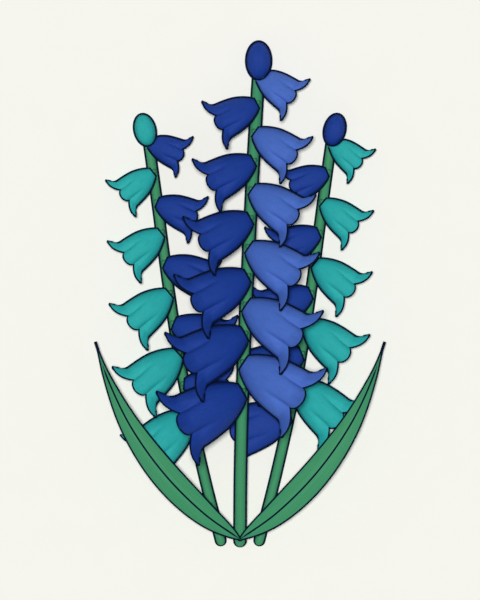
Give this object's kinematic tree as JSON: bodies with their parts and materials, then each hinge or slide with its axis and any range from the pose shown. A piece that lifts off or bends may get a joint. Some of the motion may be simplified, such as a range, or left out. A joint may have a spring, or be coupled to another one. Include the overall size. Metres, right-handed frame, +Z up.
{
  "type": "picked hyacinth flower bunch",
  "caption": "Picked bunch of hyacinth flower stalks lying on a surface, with rows of nodding bell flowers, an oval bud at each tip and arching channelled leaves.",
  "frame": {"origin": "on the surface that the bunch lies on, under the middle of its outline", "axes": "+X across the bunch, +Y from the cut ends of the stalks to the buds, +Z up from the surface"},
  "size_m": [0.1462, 0.253, 0.0622],
  "materials": {
    "petal_navy": "satin",
    "petal_blue": "satin",
    "petal_teal": "satin",
    "leaf_green": "satin"
  },
  "bodies": {
    "root": {"bell_left_outer_1": "petal_teal", "bell_left_outer_2": "petal_teal", "bell_left_outer_3": "petal_teal", "bell_left_outer_4": "petal_teal", "bell_left_outer_5": "petal_teal", "bell_left_inner_1": "petal_navy", "bell_left_inner_2": "petal_navy", "bell_left_inner_3": "petal_navy", "bell_left_inner_4": "petal_navy", "bell_left_inner_5": "petal_navy", "bud_left": "petal_teal", "stalk_left": "leaf_green", "bell_centre_left_1": "petal_navy", "bell_centre_left_2": "petal_navy", "bell_centre_left_3": "petal_navy", "bell_centre_left_4": "petal_navy", "bell_centre_left_5": "petal_navy", "bell_centre_left_6": "petal_navy", "bell_centre_right_1": "petal_blue", "bell_centre_right_2": "petal_blue", "bell_centre_right_3": "petal_blue", "bell_centre_right_4": "petal_blue", "bell_centre_right_5": "petal_blue", "bell_centre_right_6": "petal_blue", "bud_centre": "petal_navy", "stalk_centre": "leaf_green", "bell_right_inner_1": "petal_navy", "bell_right_inner_2": "petal_navy", "bell_right_inner_3": "petal_navy", "bell_right_inner_4": "petal_navy", "bell_right_inner_5": "petal_navy", "bell_right_outer_1": "petal_teal", "bell_right_outer_2": "petal_teal", "bell_right_outer_3": "petal_teal", "bell_right_outer_4": "petal_teal", "bell_right_outer_5": "petal_teal", "bud_right": "petal_navy", "stalk_right": "leaf_green", "leaf_left": "leaf_green", "leaf_right": "leaf_green"}
  },
  "joints": []
}
